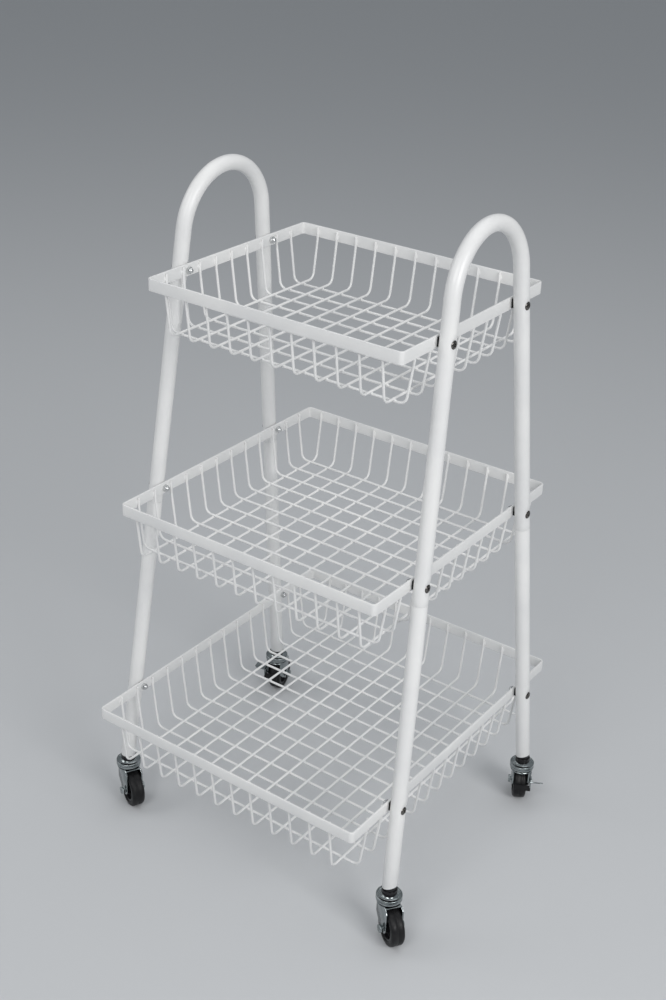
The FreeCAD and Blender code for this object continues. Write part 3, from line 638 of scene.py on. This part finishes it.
def drawRaceway(corner):
    r = race
    outer, waist, roll = r["outer"], r["waist"], r["roll"]
    grooveLow, grooveHigh = r["groove"]
    thin, lift = r["wallFoot"]
    profile = [(r["bore"], r["ceiling"]), (outer - r["wall"], r["ceiling"]), (outer - thin, r["low"] + lift)]
    profile += arcPoints((outer - roll, r["low"] + roll), roll, 180, 360, 6)      # rolled lower edge
    profile += [(outer, grooveLow - r["flare"]), (waist, grooveLow)]      # groove between the two rings
    profile += [(waist, grooveHigh), (outer, grooveHigh + r["flare"])]
    profile += arcPoints((outer - r["lipRound"], r["lip"]), r["lipRound"], 0, 180, 8)      # raised lip
    profile += [*r["dish"], (r["crown"], r["top"]), (r["bore"], r["top"])]
    return turnedPiece(f"{corner}_race_cap", profile, casterPlace(corner), "zinc", "frame",
                       [f"{corner}_raceway"], crease=50)


tyreShape = dict(outer=25, inner=18, half=9, shoulder=4, flat=1.2, lip=0.6, ridge=0.35, ridgeHalf=(0.25, 0.7))


def drawTyre(corner):
    t = tyreShape
    half, outer, shoulder, lip = t["half"], t["outer"], t["shoulder"], t["lip"]
    groove, (narrow, broad) = outer - t["ridge"], t["ridgeHalf"]
    # one half, from the line round the tread's middle to the hub
    side = [(groove, narrow), (outer, broad)]
    side += arcPoints((outer - shoulder, half - shoulder), shoulder, 0, 90, 8)
    side += [(outer - shoulder - t["flat"], half), (t["inner"] + lip, half), (t["inner"], half - lip)]
    profile = [(r, -z) for r, z in reversed(side)] + side
    return turnedPiece(f"{corner}_tread", profile, axlePlace(corner), "rubber",
                       f"{corner}_wheel", [f"{corner}_tyre"], crease=40)


hubShape = dict(bore=3.05, barrel=7, inner=15, outer=18, end=9.5, side=8, web=3, edge=0.4, fillet=0.6,
                rimFoot=(0.5, 1.1), barrelFoot=(0.3, 0.9), barrelEdge=0.5)


def drawHub(corner):
    h = hubShape
    edge, fillet = h["edge"], h["fillet"]
    rim = [(h["outer"], h["side"] - edge), (h["outer"] - edge, h["side"]), (h["inner"] + edge, h["side"]),
           (h["inner"], h["side"] - edge)]
    (rimHigh, rimLow), (barrelHigh, barrelLow) = h["rimFoot"], h["barrelFoot"]
    web = [(h["inner"] - rimHigh, h["web"] + fillet), (h["inner"] - rimLow, h["web"]),
           (h["barrel"] + barrelLow, h["web"]), (h["barrel"] + barrelHigh, h["web"] + fillet)]
    cut = h["barrelEdge"]
    barrel = [(h["barrel"], h["end"] - cut), (h["barrel"] - cut, h["end"]), (h["bore"], h["end"])]
    half = rim + web + barrel
    profile = half + [(r, -z) for r, z in reversed(half)]
    return turnedPiece(f"{corner}_wheel_centre", profile, axlePlace(corner), "plastic",
                       f"{corner}_wheel", [f"{corner}_hub"])


forkShape = dict(ahead=10, web=15, boss=8, shoulder=4, cheek=22, half=11.7, sheet=2, bend=3,
                 blankAhead=20, blankLength=50, edge=0.35, plate=15.5, plateRound=1, bore=4.05)
forkSteps = dict(bend=6, cuts=8, first=236, turn=15)      # first and turn are the cuts' angles in degrees


def drawFork(corner):
    f = {key: value * mm for key, value in forkShape.items()}
    under, top, trail, axle = (caster[key] for key in ("forkUnder", "forkTop", "trail", "axle"))
    middle = (under + top) / 2
    ahead, boss, bend, web = f["ahead"], f["boss"], f["bend"], f["web"]
    bm = bmesh.new()
    # the middle of the sheet, bent over the wheel, from a blank that is longer than the fork
    start = Vector((-f["blankAhead"], -f["half"], 0))
    verts = [bm.verts.new(start), bm.verts.new(start + across * f["blankLength"])]
    first = [bm.edges.new(verts)]
    corner90 = ("turn", math.pi / 2, bend, forkSteps["bend"])
    sweepOn(bm, first, start, upward, -across, [
        ("run", middle - bend), corner90, ("run", 2 * (f["half"] - bend)), corner90, ("run", middle - bend)])
    cuts = [((-ahead, 0, 0), (-1, 0, 0)), ((trail + boss, 0, 0), (1, 0, 0))]
    slope = Vector((trail + boss - web, 0, -f["shoulder"] - f["sheet"]))
    cuts.append(((web, 0, top), (-slope.z, 0, slope.x)))
    lead = Vector((trail - boss + ahead, 0, axle - boss - under + f["cheek"]))
    cuts.append(((-ahead, 0, under - f["cheek"]), (lead.z, 0, -lead.x)))
    for k in range(forkSteps["cuts"]):      # rounds the legs' ends under the axle
        angle = math.radians(forkSteps["first"] + forkSteps["turn"] * k)
        point = (math.cos(angle), 0, math.sin(angle))
        cuts.append(((trail + boss * point[0], 0, axle + boss * point[2]), point))
    for spot, normal in cuts:
        keepBelow(bm, spot, normal)
    outward(bm)
    bmesh.ops.solidify(bm, geom=bm.faces[:], thickness=f["sheet"])
    bmesh.ops.translate(bm, verts=bm.verts, vec=(0, 0, top - max(v.co.z for v in bm.verts)))
    bevelEdges(bm, sharpEdges(bm, math.radians(60)), f["edge"])
    disc = bmesh.new()
    plate, plateRound = f["plate"], f["plateRound"]
    profile = [(f["bore"], under), (plate - plateRound / 2, under)]
    profile += arcPoints((plate - plateRound, middle), plateRound, -90, 90, 6)
    profile.append((f["bore"], top))
    turnedShape(disc, profile, caster["steps"])
    outward(disc)
    stampInto(bm, disc, Matrix.Identity(4))
    disc.free()
    bm.transform(casterPlace(corner))
    return finishPiece(f"{corner}_fork_sheet", bm, finishes["zinc"], f"{corner}_swivel",
                       [f"{corner}_fork"], crease=30)


axleShape = dict(shank=3, side=12.7, headRadius=5.5, head=3, headRound=1.2, nutFlats=10, nut=5, nutHeight=4.6,
                 nutSlope=0.5, tip=0.6, nutTurn=11)


def drawAxle(corner):
    a = axleShape
    place = axlePlace(corner)
    side, shank, easing = a["side"], a["shank"], a["headRound"]
    far, end = side + a["head"], side + a["nut"]
    # this place's Z points to -Y of the caster, so the nut's side is +Z
    profile = [(0, -far)] + arcPoints((a["headRadius"] - easing, easing - far), easing, -90, 0, 5)
    profile += [(a["headRadius"], -side), (shank, -side), (shank, end - a["tip"])]
    profile += [(shank - a["tip"], end), (0, end)]
    turnedPiece(f"{corner}_axle_bolt", profile, place, "zinc", f"{corner}_swivel",
                [f"{corner}_axle"])
    nut = hexNut(a["nutFlats"] * mm, a["nutHeight"] * mm, a["nutSlope"])
    turn = Matrix.Rotation(math.radians(a["nutTurn"]), 4, "Z")
    nut.transform(place @ Matrix.Translation((0, 0, side * mm)) @ turn)
    finishPiece(f"{corner}_lock_nut", nut, finishes["zinc"], f"{corner}_swivel",
                [f"{corner}_axle_nut"], crease=30)


socket = dict(barrel=8.25, flange=9.8, low=66.8, top=74.8, rise=14, lowRound=1.6, topRound=0.6)


def drawSockets():
    s = socket
    flange, low, top, tip = s["flange"], s["low"], s["top"], s["top"] + s["rise"]
    lowRound, topRound = s["lowRound"], s["topRound"]
    profile = [(0, low), (flange - lowRound, low)]
    profile += arcPoints((flange - lowRound, low + lowRound), lowRound, -90, 0, 6)
    profile += arcPoints((flange - topRound, top - topRound), topRound, 0, 90, 4)
    profile += [(s["barrel"], top), (s["barrel"], tip), (0, tip)]
    bm = bmesh.new()
    for corner in corners:
        shape = bmesh.new()
        turnedShape(shape, [(r * mm, z * mm) for r, z in profile], caster["steps"])
        # the barrel leans with its tube
        side, end = sidesOf(corner)
        lean = Vector((-side * math.tan(tube["lean"]), -end * math.tan(tube["splay"]), 0))
        for v in shape.verts:
            v.co += lean * max(0.0, v.co.z - top * mm)
        outward(shape)
        foot = swivelFoot(corner)
        stampInto(bm, shape, Matrix.Translation((foot.x, foot.y, 0)))
        shape.free()
    return finishPiece("leg_plugs", bm, finishes["plastic"], "frame", ["leg_sockets"],
                       crease=40)


lever = dict(hand=dict(rear_left=1, rear_right=-1), fall=dict(rear_left=0, rear_right=36), inner=13.0,
             sheet=1.5, lead=15, height=14, eye=10, rise=13, pedalRise=18, pedalLength=17, pedalWidth=18,
             pedalCorner=3, shoeAngle=168, shoeHeight=8, shoeGap=1.5, pad=6.5, edge=0.3,
             tipCut=1.5, backCut=2.5, noseCut=3)
rivet = dict(start=10.7, shank=2.5, head=4, gap=0.3, brim=0.5, dome=((3.6, 0.55), (2.6, 0.85), (0, 1.0)))


def slabFrom(bm, corners3, thickness):
    # a flat plate from its corners, thickened along the given vector
    face = bm.faces.new([bm.verts.new(c) for c in corners3])
    grown = onlyVerts(bmesh.ops.extrude_face_region(bm, geom=[face])["geom"])
    bmesh.ops.translate(bm, verts=grown, vec=thickness)


def drawLever(corner):
    d = lever
    hand, inner, sheet, lead = d["hand"][corner], d["inner"], d["sheet"], d["lead"]
    axle, trail = caster["axle"] / mm, caster["trail"] / mm
    back, pivot, pedal = trail + d["eye"] / 2, axle + d["rise"], axle + d["pedalRise"]
    foot, nose = pivot - d["eye"] / 2, pedal - d["height"]
    place = casterPlace(corner)
    bm = bmesh.new()
    tip, cut, snout = d["tipCut"], d["backCut"], d["noseCut"]
    plate = [(tip - lead, pedal), (back - cut, pedal), (back, pedal - cut), (back, foot + cut),
             (back - cut, foot), (snout - lead, nose), (-lead, nose + snout), (-lead, pedal - tip)]
    slabFrom(bm, [Vector((x, hand * inner, z)) * mm for x, z in plate], Vector((0, hand * sheet * mm, 0)))
    # the pedal lies outside the plate and falls towards the axle
    tread = bmesh.new()
    far, wide, trim = d["pedalLength"], d["pedalWidth"], d["pedalCorner"]
    outline = [(0, 0), (far, 0), (far, wide - trim), (far - trim, wide), (trim, wide), (0, wide - trim)]
    slabFrom(tread, [Vector((x, hand * y, 0)) * mm for x, y in outline], Vector((0, 0, -sheet * mm)))
    fall = Matrix.Rotation(math.radians(d["fall"][corner]), 4, "Y")
    stampInto(bm, tread, Matrix.Translation(Vector((-lead, hand * inner, pedal)) * mm) @ fall)
    tread.free()
    outward(bm)
    bevelEdges(bm, sharpEdges(bm, math.radians(30)), d["edge"] * mm)
    bm.transform(place)
    finishPiece(f"{corner}_brake_pedal", bm, finishes["zinc"], f"{corner}_lever",
                [f"{corner}_brake_lever"], crease=30)
    # the shoe, moulded over in black
    shoe = bmesh.new()
    near, half, outer = tyreShape["outer"] + d["shoeGap"], d["shoeHeight"] / 2, inner + sheet
    ends = [(hand * outer, -half), (-hand * d["pad"], -half), (-hand * d["pad"], half), (hand * outer, half)]
    slabFrom(shoe, [Vector((near, y, z)) * mm for y, z in ends], Vector((sheet * mm, 0, 0)))
    outward(shoe)
    bevelEdges(shoe, sharpEdges(shoe, math.radians(30)), d["edge"] * mm)
    shoe.transform(place @ atAxle() @ Matrix.Rotation(math.radians(-d["shoeAngle"]), 4, "Y"))
    finishPiece(f"{corner}_brake_shoe", shoe, finishes["rubber"], f"{corner}_lever",
                crease=30)
    under, brim = outer + rivet["gap"], outer + rivet["gap"] + rivet["brim"]
    profile = [(0, rivet["start"]), (rivet["shank"], rivet["start"]), (rivet["shank"], under)]
    profile += [(rivet["head"], under), (rivet["head"], brim)] + [(r, brim + h) for r, h in rivet["dome"]]
    shift = Matrix.Translation((caster["trail"], 0, pivot * mm))
    atPivot = place @ shift @ Matrix.Rotation(-hand * math.pi / 2, 4, "X")
    turnedPiece(f"{corner}_lever_rivet", profile, atPivot, "zinc", f"{corner}_swivel",
                [f"{corner}_brake_rivet"])


stem = dict(radius=4, foot=((0, 52.2), (4, 52.2), (5.6, 53), (6.5, 54.2)), top=88.8)


def drawStem(corner):
    radius, top = stem["radius"], stem["top"]
    profile = [*stem["foot"], (radius, stem["foot"][-1][1]), (radius, top), (0, top)]
    return turnedPiece(f"{corner}_king_stem", profile, casterPlace(corner), "zinc", "frame",
                       [f"{corner}_stem"])


for corner in corners:
    drawStem(corner)
    drawRaceway(corner)
    drawFork(corner)
    drawAxle(corner)
    drawHub(corner)
    drawTyre(corner)
for corner in ("rear_left", "rear_right"):
    drawLever(corner)
drawSockets()
balls = frame["nodes"]["swivel_balls"]
balls.data.materials.clear()
balls.data.materials.append(finishes["zinc"])
print("casters drawn")


# stage, light and camera

stageLook = dict(floor=(0.56, 0.572, 0.585), rough=0.8, size=14, worldLight=0.33, worldTint=(0.9, 0.95, 1.0),
                 aim=(0, 0, 0.45))


def drawStage():
    bm = bmesh.new()
    bmesh.ops.create_grid(bm, x_segments=8, y_segments=8, size=stageLook["size"])
    floorMesh = bpy.data.meshes.new("studio_floor")
    bm.to_mesh(floorMesh)
    bm.free()
    floor = bpy.data.objects.new("studio_floor", floorMesh)
    scene.collection.objects.link(floor)
    material = newFinish("studio_floor", stageLook["floor"], stageLook["rough"])[0]
    floorMesh.materials.append(material)
    world = bpy.data.worlds.new("studio")
    world.use_nodes = True
    sky = world.node_tree.nodes["Background"]
    sky.inputs["Color"].default_value = (*stageLook["worldTint"], 1)
    sky.inputs["Strength"].default_value = stageLook["worldLight"]
    scene.world = world


softboxes = [
    dict(name="key_softbox", spot=(2.7, -0.9, 2.0), size=1.5, power=50, tint=(1.0, 0.99, 0.985)),
    dict(name="front_softbox", spot=(0.5, -2.6, 2.6), size=1.4, power=30, tint=(1.0, 0.99, 0.985)),
    dict(name="left_softbox", spot=(-2.4, -1.4, 2.3), size=1.6, power=16, tint=(1.0, 0.99, 0.985)),
    dict(name="top_softbox", spot=(0.2, 0.9, 3.2), size=2.4, power=15, tint=(1.0, 1.0, 1.0)),
]


def drawLights():
    aim = Vector(stageLook["aim"])
    for box in softboxes:
        light = bpy.data.lights.new(box["name"], "AREA")
        light.shape = "SQUARE"
        light.size = box["size"]
        light.energy = box["power"]
        light.color = box["tint"]
        lamp = bpy.data.objects.new(box["name"], light)
        lamp.location = box["spot"]
        lamp.rotation_euler = (aim - lamp.location).to_track_quat("-Z", "Y").to_euler()
        scene.collection.objects.link(lamp)


# focal length and image height in pixels
shot = dict(azimuth=34.6355, elevation=27.3497, roll=2.3627, spot=(0.9190, -1.3410, 1.3105), focal=1459.2,
            imageHeight=1000)


def placeCamera():
    az, el, roll = (math.radians(shot[key]) for key in ("azimuth", "elevation", "roll"))
    back = Vector((math.sin(az) * math.cos(el), -math.cos(az) * math.cos(el), math.sin(el)))
    level = Vector((math.cos(az), math.sin(az), 0))
    top = back.cross(level)
    right = level * math.cos(roll) + top * math.sin(roll)
    up = top * math.cos(roll) - level * math.sin(roll)
    lens = bpy.data.cameras.new("photo_camera")
    lens.sensor_fit = "VERTICAL"
    lens.sensor_height = 36
    lens.lens = shot["focal"] / shot["imageHeight"] * lens.sensor_height
    camera = bpy.data.objects.new("photo_camera", lens)
    axes = Matrix((right, up, back)).transposed().to_4x4()
    camera.matrix_world = Matrix.Translation(shot["spot"]) @ axes
    scene.collection.objects.link(camera)
    scene.camera = camera


drawStage()
drawLights()
placeCamera()
scene.view_settings.view_transform = "Standard"
print("stage set")
